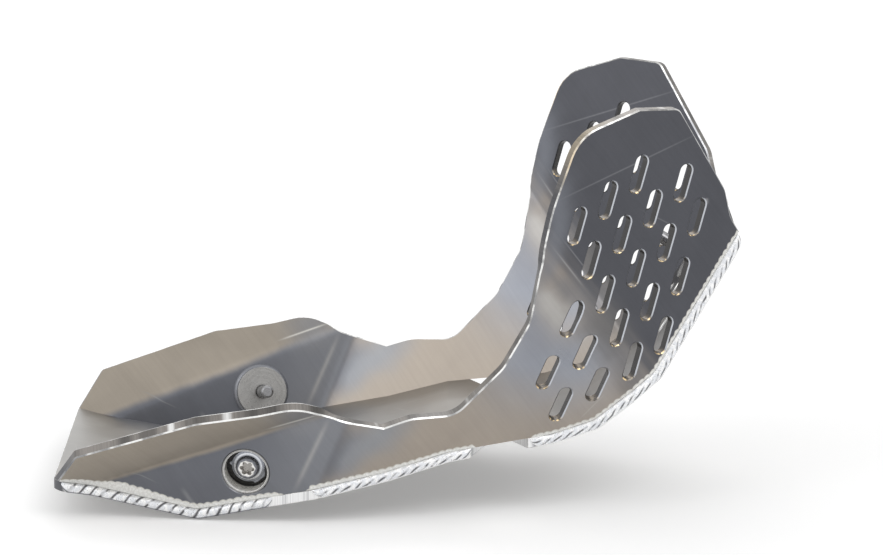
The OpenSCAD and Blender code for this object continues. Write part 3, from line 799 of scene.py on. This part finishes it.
# Colours of the sheet: painted reflections that change from flat to flat as the flats face different ways, the
# frosted band's own colours, and painted highlights and shade on the broken edges and cut walls. Strokes of painted
# reflection,
# highlight and shade: place in millimetres on the blank, heading across, half width, half length, colour and
# strength.
# The first strokes lie under the tone of the wing, and the second over it.
tones = {
    "mid": srgb(162, 153, 143), "wing": srgb(83, 84, 89), "rear": srgb(107, 109, 115), "lip": srgb(156, 148, 137),
    "pastFold": srgb(134, 136, 141), "frost": srgb(250, 250, 247), "frostPits": srgb(226, 225, 221),
    "frostRim": srgb(178, 168, 148), "break": srgb(238, 238, 236), "breakPatch": srgb(150, 150, 150),
    "cut": srgb(92, 90, 88), "cutPatch": srgb(134, 130, 126), "cutBar": srgb(214, 214, 213),
    "under": [(-166, -75, 150, 8, 15, (118, 121, 128), 0.85), (-153, -69, 134, 8, 22, (147, 150, 155), 0.85),
              (-72, -32, 75, 22, 34, (152, 156, 165), 0.95), (-88, 0, 15, 10, 30, (139, 142, 150), 0.8)],
    "over": [(-63, 1, 36, 6, 13, (112, 113, 117), 0.55), (-72.5, -4, 36, 5, 14, (178, 176, 173), 0.8),
             (-48, -18.5, 30, 9, 15, (108, 107, 107), 0.8), (-33, -41, 20, 8, 13, (108, 109, 113), 0.55),
             (-186, -58, 25, 13, 13, (131, 132, 135), 0.8), (-68.7, 15, 38.2, 0.4, 12, (160, 160, 161), 0.5),
             (-63.5, 18, 38.2, 0.3, 12, (150, 150, 152), 0.4), (-75, 34, 165, 7, 24, (122, 125, 132), 0.6),
             (-36.7, 56.7, 105.3, 0.35, 34, (150, 151, 154), 0.28),
             (-235, -107, 39, 1.0, 4.5, (160, 160, 161), 0.4), (-259, -98.8, 70.5, 0.3, 8, (150, 150, 150), 0.45),
             (-20, 30, 60, 0.25, 9, (140, 141, 145), 0.3), (-179.7, -78, 160.8, 1.1, 17, (170, 169, 167), 0.6),
             (-189.7, -60.2, 113.5, 0.5, 11, (214, 212, 205), 0.8), (6.5, 34, 0, 0.9, 1.4, (170, 170, 172), 0.5),
             (-50, -58, 140, 0.3, 7, (190, 186, 180), 0.3)],
    # Strokes of painted highlight and shade on the broken edge, one of them a warm glint
    "onBreak": [(-66, 64, 60, 9, 9, (232, 208, 168), 0.7), (-26, 84, 90, 8, 16, (142, 140, 138), 0.75),
                (-200, -60, 90, 9, 26, (250, 250, 248), 0.9), (-140, -61, 90, 8, 20, (222, 222, 220), 0.8),
                (-108, -58, 90, 9, 16, (176, 176, 176), 0.6), (-292, -90, 20, 12, 16, (120, 121, 124), 0.9),
                (15, 40, 0, 22, 60, (120, 121, 125), 0.75)],
    # Strokes of painted shade and highlight on the cut wall, one of them a warm glint
    "onCut": [(-70, 20, 20, 22, 60, (88, 89, 94), 0.75), (-60, 70, 60, 12, 10, (178, 164, 138), 0.5),
              (-296, -92, 20, 8, 16, (78, 80, 86), 0.9), (-120, -60, 90, 9, 14, (118, 116, 114), 0.7)]}

# How far the frosted band reaches up the side plate, in millimetres, by place along the seam
frostReach = [(0, 1.2), (6, 2.2), (12, 3.6), (20, 4.4), (32, 4.8), (42, 4.2), (50, 3.2), (62, 2.3), (78, 2.0),
              (92, 2.2), (101, 1.9), (107, 1.5), (112, -1.5), (119, -1.5), (124, 2.0), (150, 1.9), (180, 1.5),
              (200, 1.4), (204, -1.5), (226, -1.5), (230, 1.5), (252, 1.2), (300, 1.2), (350, 1.3), (400, 1.4)]
frostLobe = 0.0036


def flatVector(pair, scale=1.0):
    return (pair[0] * scale, pair[1] * scale, 0)


def addTones(t, uv, colour, strokes, wavy):
    # Lays soft strokes of painted reflection, highlight and shade over a colour, the wide ones with a wavy outline
    for x, y, heading, width, length, tone, strength in strokes:
        mask = t.group(softStroke, Vector=wavy if width > 2 else uv, Point=flatVector((x, y), 0.001),
                       Across=flatVector(direction(heading)), Width=width / 1000, Length=length / 1000)["Mask"]
        colour = t.mix(t.times(mask, strength), colour, srgb(*tone))
    return colour


def frostMask(t, uv):
    # The frosted band's mask and its rim: its upper edge is the reach along the seam, in lobes and with noise
    beside = t.split(t.uv("beside"))
    reach = curveOf(t, beside[0], [x / 1000 for x, _ in frostReach], [y / 1000 for _, y in frostReach])
    lobes = t.times(t.math("ABSOLUTE", t.math("SINE", t.times(beside[0], math.pi / frostLobe))), 0.0006)
    lobes = t.plus(lobes, t.times(t.noise(uv, 240.0), 0.0011))
    depth = t.minus(beside[1], t.plus(reach, t.minus(lobes, 0.0008)))
    frost = t.fall(depth, -0.0003, 0.0003)
    return frost, t.times(frost, t.ramp(depth, -0.0008, -0.0002))


def makeSheetMetal():
    # Bare aluminium sheet: painted reflections that change from flat to flat across the folds, soft strokes of
    # painted reflection, highlight and shade, some of them thin light lines, rolling grain, and a frosted band of
    # blasted-looking metal beside the welds
    made, t, p = newMaterial("sheetMetal")
    uv = t.uv("sheet")
    far = {name: t.group(foldDistance, Vector=uv, Point=flatVector(fold["point"], 0.001),
                         Across=flatVector(direction(fold["heading"])))["Distance"]
           for name, fold in folds.items()}
    grain = t.group(brushedGrain, Vector=t.turned(uv, math.radians(52)), Fineness=700.0, Stretch=22.0)
    drift = t.vector("SUBTRACT", t.noise(uv, 34.0, 3.0, output="Color"), (0.5, 0.5, 0.5))
    wavy = t.vector("ADD", uv, t.scaled(drift, 0.016))
    streaky = t.times(t.minus(grain["Broad"], 0.5), 0.022)
    cloudy = t.minus(grain["Cloud"], 0.5)
    past = t.ramp(far["rear"], -0.002, 0.001)
    # Painted reflections: the middle flat's tone with strokes under the wing's, then the tones that the wing, the
    # rear flat and the lip mirror, and a lighter painted reflection just past the rear fold
    colour = addTones(t, uv, tones["mid"], tones["under"], wavy)
    colour = t.mix(t.ramp(t.plus(far["wing"], streaky), -0.010, 0.020), colour, tones["wing"])
    colour = t.mix(t.ramp(t.plus(far["rear"], t.times(cloudy, 0.012)), -0.008, 0.003), colour, tones["rear"])
    lighter = t.times(past, t.fall(far["rear"], 0.0, 0.045))
    colour = t.mix(t.times(lighter, 0.75), colour, tones["pastFold"])
    edge = t.plus(far["lip"], t.times(cloudy, 0.004))
    colour = t.mix(t.times(t.ramp(edge, -0.0022, 0.0016), past), colour, tones["lip"])
    # Strokes of painted reflection, highlight and shade over the flats' tones
    colour = addTones(t, uv, colour, tones["over"], wavy)
    colour = t.scaled(colour, t.times(t.spread(grain["Cloud"], 0.93, 1.07), t.spread(grain["Grain"], 0.955, 1.045)))
    frost, rim = frostMask(t, uv)
    white = t.mix(t.ramp(t.noise(uv, 900.0, 3.0, 0.7), 0.35, 0.7), tones["frostPits"], tones["frost"])
    colour = t.mix(frost, colour, t.mix(t.times(rim, 0.35), white, tones["frostRim"]))
    metallic = t.ramp(frost, 0.0, 1.0, 1.0, 0.12, kind="LINEAR")
    rough = t.math("ADD", t.spread(grain["Cloud"], 0.27, 0.37), t.times(frost, 0.35), clamp=True)
    relief = t.plus(t.times(grain["Grain"], 0.25), t.times(frost, t.noise(uv, 2600.0, 1.0)))
    dress(t, p, colour, metallic, rough, t.plus(relief, t.times(frost, 1.2)), 0.45, 0.00006)
    return made


def makeBreakMetal():
    # Filed edge along the outline: painted near white as a highlight, in patches, with painted warm glints where
    # the wing's upper corner turns, and strokes of painted highlight and shade
    made, t, p = newMaterial("breakMetal")
    uv = t.uv("sheet")
    patchy = t.noise(uv, 150.0, 3.0, 0.55)
    colour = t.mix(t.ramp(patchy, 0.38, 0.6), tones["breakPatch"], tones["break"])
    colour = addTones(t, uv, colour, tones["onBreak"], uv)
    dress(t, p, colour, 1.0, t.spread(patchy, 0.2, 0.34), t.noise(uv, 1800.0), 0.3, 0.00004)
    return made


def makeCutMetal():
    # Wall left by cutting: fine lines through the thickness over a dark painted shade, with patches and a brighter
    # stretch of painted highlight here and there, and strokes of painted shade and highlight
    made, t, p = newMaterial("cutMetal")
    uv = t.uv("sheet")
    lines, bars = t.noise(uv, 1500.0), t.noise(uv, 70.0, 2.0, 0.55)
    colour = t.mix(t.ramp(bars, 0.36, 0.6), tones["cut"], tones["cutPatch"])
    colour = t.mix(t.ramp(bars, 0.6, 0.66), colour, tones["cutBar"])
    colour = t.scaled(addTones(t, uv, colour, tones["onCut"], uv), t.spread(lines, 0.86, 1.12))
    dress(t, p, colour, 1.0, t.spread(bars, 0.3, 0.42), lines, 0.5, 0.00008)
    return made


def makeSlotMetal(name, wall):
    # Slot walls get painted shade, lighter to the front, with painted light on their lower end; the broken rim gets
    # a painted highlight above and to the front, darker elsewhere, and painted warm glints at its lower end
    made, t, p = newMaterial(name)
    parts = t.split(t.uv("slot"))
    at = t.place()
    speck = t.noise(at, 620.0)
    low = t.fall(parts[1], -0.0082, -0.0058)
    if wall:
        colour = t.mix(t.ramp(t.plus(parts[0], t.times(speck, 0.002)), -0.0025, 0.0035),
                       srgb(38, 37, 36), srgb(78, 77, 77))
        colour = t.mix(t.times(low, t.ramp(speck, 0.42, 0.62, 0.2, 0.8)), colour, srgb(132, 122, 110))
    else:
        lit = t.ramp(t.plus(parts[0], t.times(parts[1], 0.25)), -0.0008, 0.0022)
        colour = t.mix(lit, srgb(92, 92, 95), srgb(190, 193, 199))
        glint = t.mix(t.ramp(speck, 0.48, 0.62), srgb(104, 99, 93), srgb(240, 214, 168))
        colour = t.mix(low, colour, glint)
    dress(t, p, colour, 1.0, t.spread(speck, 0.25, 0.4), t.noise(at, 1600.0), 0.4, 0.00005)
    return made


plateMetals = [makeSheetMetal(), makeBreakMetal(), makeCutMetal(), makeSlotMetal("slotRimMetal", False),
               makeSlotMetal("slotWallMetal", True)]
for side in ("right", "left"):
    plate = makeSidePlate(side + "_side_plate_sheet", side == "left", plateMetals)
    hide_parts(side + "_side_plate")
    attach(plate, "root")
print("side plates ready")


# Centre plate: broken edges in millimetres, colours, among them painted highlights on the cut and broken edges and
# painted shade at the rear end, and the ends of its pale and dark edges in metres along X
centrePlate = {"edgeBreak": 0.3, "colour": srgb(150, 148, 145), "markColour": srgb(206, 205, 202),
               "edgePatch": srgb(170, 171, 174), "edge": srgb(246, 246, 246), "rearEndShade": srgb(96, 97, 101),
               "corner": srgb(232, 231, 228), "cornerPatch": srgb(150, 150, 150),
               "notchFront": (-0.072, -0.070), "rearEndAt": (-0.2915, -0.2885)}


def makeCentreMetal(values):
    # Bare sheet: rolling grain along it, long faint scuffs, and cutting lines across its edges. The edges are
    # found by the way they face: to the sides, and at the notch along X. They are painted near white as a
    # highlight, and dark at the rear end as painted shade
    made, t, p = newMaterial("centreMetal")
    at = t.place()
    grain = t.group(brushedGrain, Vector=at, Fineness=700.0, Stretch=26.0)
    mark = t.group(scratches, Vector=at, Spacing=0.03, Thinness=0.008)["Mask"]
    alongX = t.split(at)[0]
    alongOnly = t.add("ShaderNodeCombineXYZ", {0: alongX}).outputs[0]
    lines, bars = t.noise(alongOnly, 1700.0), t.noise(alongOnly, 210.0, 3.0)
    facing = t.split(t.add("ShaderNodeNewGeometry").outputs["Normal"])
    endWall = t.times(t.ramp(t.math("ABSOLUTE", facing[0]), 0.62, 0.7),
                      t.ramp(alongX, *values["notchFront"], 1.0, 0.0))
    edge = t.math("MAXIMUM", t.ramp(t.math("ABSOLUTE", facing[1]), 0.3, 0.45), endWall)
    shade = t.times(t.spread(grain["Cloud"], 0.88, 1.1), t.spread(grain["Grain"], 0.95, 1.05))
    colour = t.mix(t.times(mark, 0.18), t.scaled(values["colour"][:3], shade), values["markColour"])
    # The cut edges are painted near white as a highlight, in patches, and dark at the rear end as painted shade
    edgeHighlightAndShade = t.mix(t.ramp(bars, 0.34, 0.5), values["edgePatch"], values["edge"])
    edgeHighlightAndShade = t.scaled(edgeHighlightAndShade, t.spread(lines, 0.85, 1.1))
    edgeHighlightAndShade = t.mix(t.ramp(alongX, *values["rearEndAt"]), values["rearEndShade"], edgeHighlightAndShade)
    relief = t.minus(t.times(grain["Grain"], 0.3), t.times(mark, 0.4))
    relief = t.plus(relief, t.times(t.times(lines, edge), 1.2))
    dress(t, p, t.mix(edge, colour, edgeHighlightAndShade), t.ramp(edge, 0.0, 1.0, 1.0, 0.5, kind="LINEAR"),
          t.spread(grain["Cloud"], 0.28, 0.42), relief, 0.5, 0.00006)
    return made


def makeCornerMetal(values):
    # Broken edges of the centre plate, painted brighter than the sheet as a highlight
    made, t, p = newMaterial("cornerMetal")
    at = t.place()
    colour = t.mix(t.ramp(t.noise(at, 160.0, 3.0), 0.38, 0.6), values["cornerPatch"], values["corner"])
    dress(t, p, colour, 1.0, t.spread(t.noise(at, 90.0), 0.22, 0.36), t.noise(at, 1800.0), 0.3, 0.00004)
    return made


plate = mergedCopy("centre_plate", "centre_plate_sheet")
plate.data.materials.append(makeCentreMetal(centrePlate))
plate.data.materials.append(makeCornerMetal(centrePlate))
breakEdges(plate, centrePlate["edgeBreak"], edgeSlot=1)
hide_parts("centre_plate")
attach(plate, "root")
print("centre plate ready")


# Weld beads, in millimetres: how far they stand proud, the ripples' pitch and depth, how many pitches the
# ripples lean over, where the beads start and stop, and how finely their mesh is divided
bead = {"proud": 1.84, "pitch": 5.4, "depth": 0.34, "twist": {"rear": 0.8, "middle": 2.3, "front": 2.8},
        "share": {"rear": 1.0, "middle": 0.9, "front": 0.72}, "from": 4.2, "rearLength": 100.0, "gap": 19.5,
        "notchFront": -82.0, "notchLength": 27.0, "frontEnd": 0.6, "endLength": 4.5, "seatGap": 0.15,
        "across": 26, "step": 0.3, "knotStep": 4.1, "unevenPlace": 0.07, "unevenLean": 0.12, "unevenSize": 0.05,
        # The furrow colour is painted shade between the ripples, and the lower edge colour painted shade along the
        # bead's lower side
        "colour": srgb(255, 255, 255), "shade": srgb(232, 234, 238), "furrowShade": srgb(70, 70, 74),
        "lowerEdgeShade": srgb(132, 134, 140)}


def beadWave(run, a, place, seed):
    # Rope-like ripple: a half wave of the run in pitches plus a twist that grows from the bead's upper side to its
    # lower one, with a little unevenness from ripple to ripple
    rng = np.random.default_rng(seed)
    knots = np.arange(run[0] - 6, run[-1] + 12, bead["knotStep"])
    wobble = np.interp(run, knots, rng.normal(0, bead["unevenPlace"], len(knots)))
    lean = bead["twist"][place] * (1 + np.interp(run, knots, rng.normal(0, bead["unevenLean"], len(knots))))
    phase = run[:, None] / bead["pitch"] + wobble[:, None] + lean[:, None] * a[None, :] / math.pi
    return np.abs(np.sin(math.pi * phase)), np.interp(run, knots, rng.normal(1, bead["unevenSize"], len(knots)))


def beadPoints(start, stop, place, seed):
    # Round front on the plate's edge, carried along the seam: its height is a power of a half sine across it,
    # times the ripple, and falls to nothing at both ends
    run = np.linspace(start, stop, int((stop - start) / bead["step"]))
    path = np.stack([np.interp(run, seamRun, seam[:, k]) for k in range(3)], axis=1)
    soft = np.ones(9) / 9
    padded = np.pad(path, ((4, 4), (0, 0)), mode="edge")
    path[4:-4] = np.stack([np.convolve(padded[:, k], soft, mode="valid") for k in range(3)], axis=1)[4:-4]
    along = np.gradient(path, axis=0)
    along /= np.linalg.norm(along, axis=1)[:, None]
    out = np.stack([along[:, 1], -along[:, 0], np.zeros(len(run))], axis=1)
    out /= np.linalg.norm(out, axis=1)[:, None]
    down = np.cross(along, out)
    a = np.linspace(0, math.pi, bead["across"])
    wave, size = beadWave(run, a, place, seed)
    ripple = 1 - bead["depth"] * (1 - wave ** 0.45)
    end = np.sin(np.pi / 2 * np.clip(np.minimum(run - start + 0.3, stop - run + 0.3) / bead["endLength"], 0, 1))
    high = bead["proud"] * bead["share"][place] * ripple * (np.minimum(size, 1.0) * end)[:, None]
    high = high * np.sin(a)[None, :] ** 0.75 + bead["seatGap"]
    wide = (sheet["thickness"] - 2 * bead["seatGap"]) * (0.25 + 0.75 * end)
    spread = wide[:, None] * (1 - np.cos(a))[None, :] / 2 + bead["seatGap"]
    return (path[:, None] + out[:, None] * high[:, :, None] + down[:, None] * spread[:, :, None]) / 1000, wave


def makeBeadMetal(name, furrowFrom, furrowTo, deep, lowerEdgeShade):
    # Bright weld metal with painted shade in the furrows between the ripples, which fades here and there and lies
    # between two places across the bead, and a colour along the lower edge for painted shade there
    made, t, p = newMaterial(name)
    parts = t.split(t.uv("ripple"))
    at = t.place()
    speck = t.noise(at, 1500.0, 3.0, 0.6)
    furrowShade = t.times(t.fall(parts[1], 0.10, deep), t.ramp(t.noise(at, 260.0, 1.0), 0.36, 0.5, 0.3, 1.0))
    furrowShade = t.times(furrowShade, t.ramp(parts[0], furrowFrom, furrowFrom + 0.15))
    furrowShade = t.times(furrowShade, t.ramp(parts[0], furrowTo, furrowTo + 0.12, 1.0, 0.0))
    soft = t.mix(t.ramp(t.noise(at, 520.0), 0.4, 0.66), bead["shade"], bead["colour"])
    soft = t.mix(t.ramp(t.plus(parts[0], t.times(speck, 0.12)), 0.76, 0.86), soft, lowerEdgeShade)
    colour = t.mix(t.times(furrowShade, 0.95), soft, bead["furrowShade"])
    dress(t, p, colour, 0.45, t.spread(speck, 0.22, 0.42), speck, 0.4, 0.00008)
    return made


def makeBead(name, start, stop, place, seed, mirrored, metal):
    points, wave = beadPoints(start, stop, place, seed)
    across = np.broadcast_to(np.linspace(0, 1, bead["across"])[None, :], wave.shape)
    if mirrored:
        points, wave, across = points[:, ::-1] * np.array([1, -1, 1]), wave[:, ::-1], across[:, ::-1]
    mesh = tubeMesh(name, points)
    addUv(mesh, "ripple", np.stack([across, wave], axis=-1).reshape(-1, 2))
    mesh.materials.append(metal)
    mesh.shade_smooth()
    mesh.set_sharp_from_angle(angle=math.radians(62))
    return link(bpy.data.objects.new(name, mesh))


def runAt(x):
    # Place along the seam that lies over a distance from the front mount
    return float(np.interp(x, seam[:, 0] - seatShift[0], seamRun))


# The rear bead gets painted shade along its lower edge; the middle and front beads get their white there, so no
# shade
beadMetal = makeBeadMetal("beadMetal", -0.2, 0.95, 0.62, bead["lowerEdgeShade"])
frontBeadMetal = makeBeadMetal("frontBeadMetal", 0.34, 0.70, 0.85, bead["colour"])
rearStop = bead["from"] + bead["rearLength"]
stretches = {"rear": (bead["from"], rearStop),
             "middle": (rearStop + bead["gap"], runAt(bead["notchFront"] - bead["notchLength"])),
             "front": (runAt(bead["notchFront"]), seamRun[-1] - bead["frontEnd"])}
for number, (place, (start, stop)) in enumerate(stretches.items()):
    for side in ("right", "left"):
        ob = makeBead("%s_weld_%s" % (place, side), start, stop, place, 11 + number, side == "left",
                      beadMetal if place == "rear" else frontBeadMetal)
        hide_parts("%s_bead_%s" % (place, side))
        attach(ob, "root")
print("weld beads ready")


# Cups and bolts: broken edges in millimetres, and tones laid on one after another, most of them painted highlights
# and painted shade, each with what it goes by (radius or height over the plate's outer face, in metres), the place
# where it starts and the one where it is full
fixing = {"edgeBreak": 0.15,
          # The cup's pocket beside the bolt is painted near black as shade, and its upper wall and rim are painted
          # highlights
          "cup": (srgb(158, 161, 168), [("radius", 0.0086, 0.0091, srgb(30, 29, 28)),
                                        ("height", -0.0074, -0.0058, srgb(226, 223, 216)),
                                        ("height", -0.0022, -0.0010, srgb(250, 249, 246))]),
          # The flange's bright rings are painted highlights
          "flange": (srgb(116, 118, 124), [("radius", 0.0054, 0.0060, srgb(214, 217, 222)),
                                           ("radius", 0.0063, 0.0068, srgb(150, 153, 161))]),
          # The head is painted bright as a highlight with a ring of painted shade round it, and the recess gets a
          # mild painted shade
          "head": (srgb(238, 237, 234), [("radius", 0.0038, 0.0044, srgb(120, 122, 128))]),
          "recess": srgb(168, 165, 161), "shank": srgb(150, 150, 152), "cupOutside": srgb(170, 169, 167)}


def axisOf(nodeName):
    # Middle of the hole on the plate's outer face, and the direction outwards, in millimetres
    if nodeName.startswith("front"):
        return frontOut * sheet["thickness"] + seatShift, frontOut
    place = rearPlace @ shiftBy((*sidePlate["rearHole"], sheet["thickness"] / 2))
    mirror = np.array([1, -1 if nodeName.endswith("left") else 1, 1])
    return (place[:3, 3] + seatShift) * mirror, place[:3, 2] * mirror


def addTurnedUv(mesh, nodeName):
    # Distance from the axis and height over the plate's outer face, in metres, as a UV map
    middle, out = axisOf(nodeName)
    places = np.empty(len(mesh.vertices) * 3)
    mesh.vertices.foreach_get("co", places)
    away = places.reshape(-1, 3) * 1000 - middle
    height = away @ out
    radius = np.linalg.norm(away - height[:, None] * out, axis=1)
    addUv(mesh, "turned", np.stack([radius, height], axis=1) / 1000)


def makeTurnedMetal(name, bolt):
    # Turned metal by radius and height: cups get painted highlights on the upper wall and rim and painted shade in
    # the pocket beside the bolt, bolts get a painted highlight on the domed head with painted shade round it, a
    # mild painted shade in the recess and rings of painted highlight on the flange
    made, t, p = newMaterial(name)
    parts = t.split(t.uv("turned"))
    by = {"radius": parts[0], "height": parts[1]}
    rings = t.noise(t.add("ShaderNodeCombineXYZ", {0: by["radius"], 1: by["height"]}).outputs[0], 1500.0, 2.0, 0.6)
    cloud = t.noise(t.place(), 330.0, 3.0, 0.6)
    behind = t.fall(by["height"], -0.0079, -0.0077)

    def layered(base, steps):
        for key, low, high, tone in steps:
            base = t.mix(t.ramp(by[key], low, high), base, tone)
        return base

    if bolt:
        colour = t.mix(t.ramp(by["height"], -0.0060, -0.0046), layered(*fixing["flange"]), layered(*fixing["head"]))
        hole = t.times(t.fall(by["height"], -0.0048, -0.0039), t.fall(by["radius"], 0.0034, 0.0036))
        colour = t.mix(hole, colour, fixing["recess"])
        colour = t.mix(behind, colour, fixing["shank"])
    else:
        outside = t.math("MAXIMUM", behind, t.ramp(by["radius"], 0.0101, 0.0103))
        colour = t.mix(outside, layered(*fixing["cup"]), fixing["cupOutside"])
    colour = t.scaled(colour, t.times(t.spread(rings, 0.84, 1.14), t.spread(cloud, 0.9, 1.08)))
    dress(t, p, colour, 0.9 if bolt else 0.35, t.spread(cloud, 0.2, 0.36), rings, 0.4, 0.00005)
    return made


cupMetal, boltMetal = makeTurnedMetal("cupMetal", False), makeTurnedMetal("boltMetal", True)
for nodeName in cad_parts:
    if "cup_weld" in nodeName:
        metal, slotName = beadMetal, "bead"
    elif "cup" in nodeName:
        metal, slotName = cupMetal, "plate"
    elif "bolt" in nodeName:
        metal, slotName = boltMetal, "bolt"
    else:
        continue
    piece = mergedCopy(nodeName, nodeName + "_piece", mergeAt=1e-6)
    # Cup welds take the bead metal at 0.8 across, where the painted shade of the rear bead's lower edge covers most
    # of them
    if metal is beadMetal:
        addUv(piece.data, "ripple", np.full((len(piece.data.vertices), 2), 0.8))
    else:
        addTurnedUv(piece.data, nodeName)
    piece.data.materials.append(metal)
    breakEdges(piece, fixing["edgeBreak"], angle=35)
    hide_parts(nodeName)
    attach(piece, "root")
print("cups and bolts ready")


# Floor and light: the floor's glow is seen by the camera and in mirrors only, and rises from glowFrom to glowTo,
# in metres from the middle. Each lamp has its place, size and power.
studio = {"floorColour": 0.93, "floorGlow": 0.22, "farGlow": 0.5, "glowFrom": 0.8, "glowTo": 3.0, "size": 12.0,
          "drop": 0.0004, "worldStrength": 0.62, "aim": (-0.1, 0, 0),
          "lamps": [("keyLamp", (0.9, -1.3, 1.6), 1.2, 12.0), ("fillLamp", (-1.6, -1.0, 1.0), 1.4, 7.0),
                    ("backLamp", (-0.3, 1.7, 1.5), 1.4, 8.0)]}


def seenRay(t):
    path = t.add("ShaderNodeLightPath").outputs
    mirrored = t.math("MAXIMUM", path["Is Glossy Ray"], path["Is Transmission Ray"])
    return t.math("MAXIMUM", path["Is Camera Ray"], mirrored)


def makeFloor(values):
    size, low, c = values["size"], cadBox[0][2] - values["drop"], values["floorColour"]
    mesh = bpy.data.meshes.new("floor")
    mesh.from_pydata([(-size, -size, low), (size, -size, low), (size, size, low), (-size, size, low)], [],
                     [(0, 1, 2, 3)])
    floor = link(bpy.data.objects.new("floor", mesh))
    made, t, p = newMaterial("floorPaper")
    at = t.place()
    away = t.add("ShaderNodeVectorMath", {0: at}, operation="LENGTH").outputs["Value"]
    glow = t.ramp(away, values["glowFrom"], values["glowTo"], values["floorGlow"], values["farGlow"])
    t.put(p["Base Color"], t.mix(t.noise(at, 60.0), (c, c, c, 1), (c - 0.01, c - 0.01, c - 0.01, 1)))
    t.put(p["Roughness"], 0.9)
    t.put(p["Emission Color"], (1, 1, 1, 1))
    t.put(p["Emission Strength"], t.times(seenRay(t), glow))
    mesh.materials.append(made)


def makeLights(values):
    world = bpy.data.worlds.new("studio")
    world.use_nodes = True
    bpy.context.scene.world = world
    world.node_tree.nodes.clear()
    t = Tree(world.node_tree)
    strength = t.plus(t.times(seenRay(t), 1.0 - values["worldStrength"]), values["worldStrength"])
    back = t.add("ShaderNodeBackground", {"Color": (1, 1, 1, 1), "Strength": strength})
    t.add("ShaderNodeOutputWorld", {"Surface": back.outputs[0]})
    for name, place, size, power in values["lamps"]:
        data = bpy.data.lights.new(name, "AREA")
        data.size, data.energy = size, power
        ob = link(bpy.data.objects.new(name, data))
        ob.location = place
        ob.rotation_euler = (Vector(values["aim"]) - Vector(place)).to_track_quat("-Z", "Y").to_euler()


makeFloor(studio)
makeLights(studio)
print("floor and lights ready")
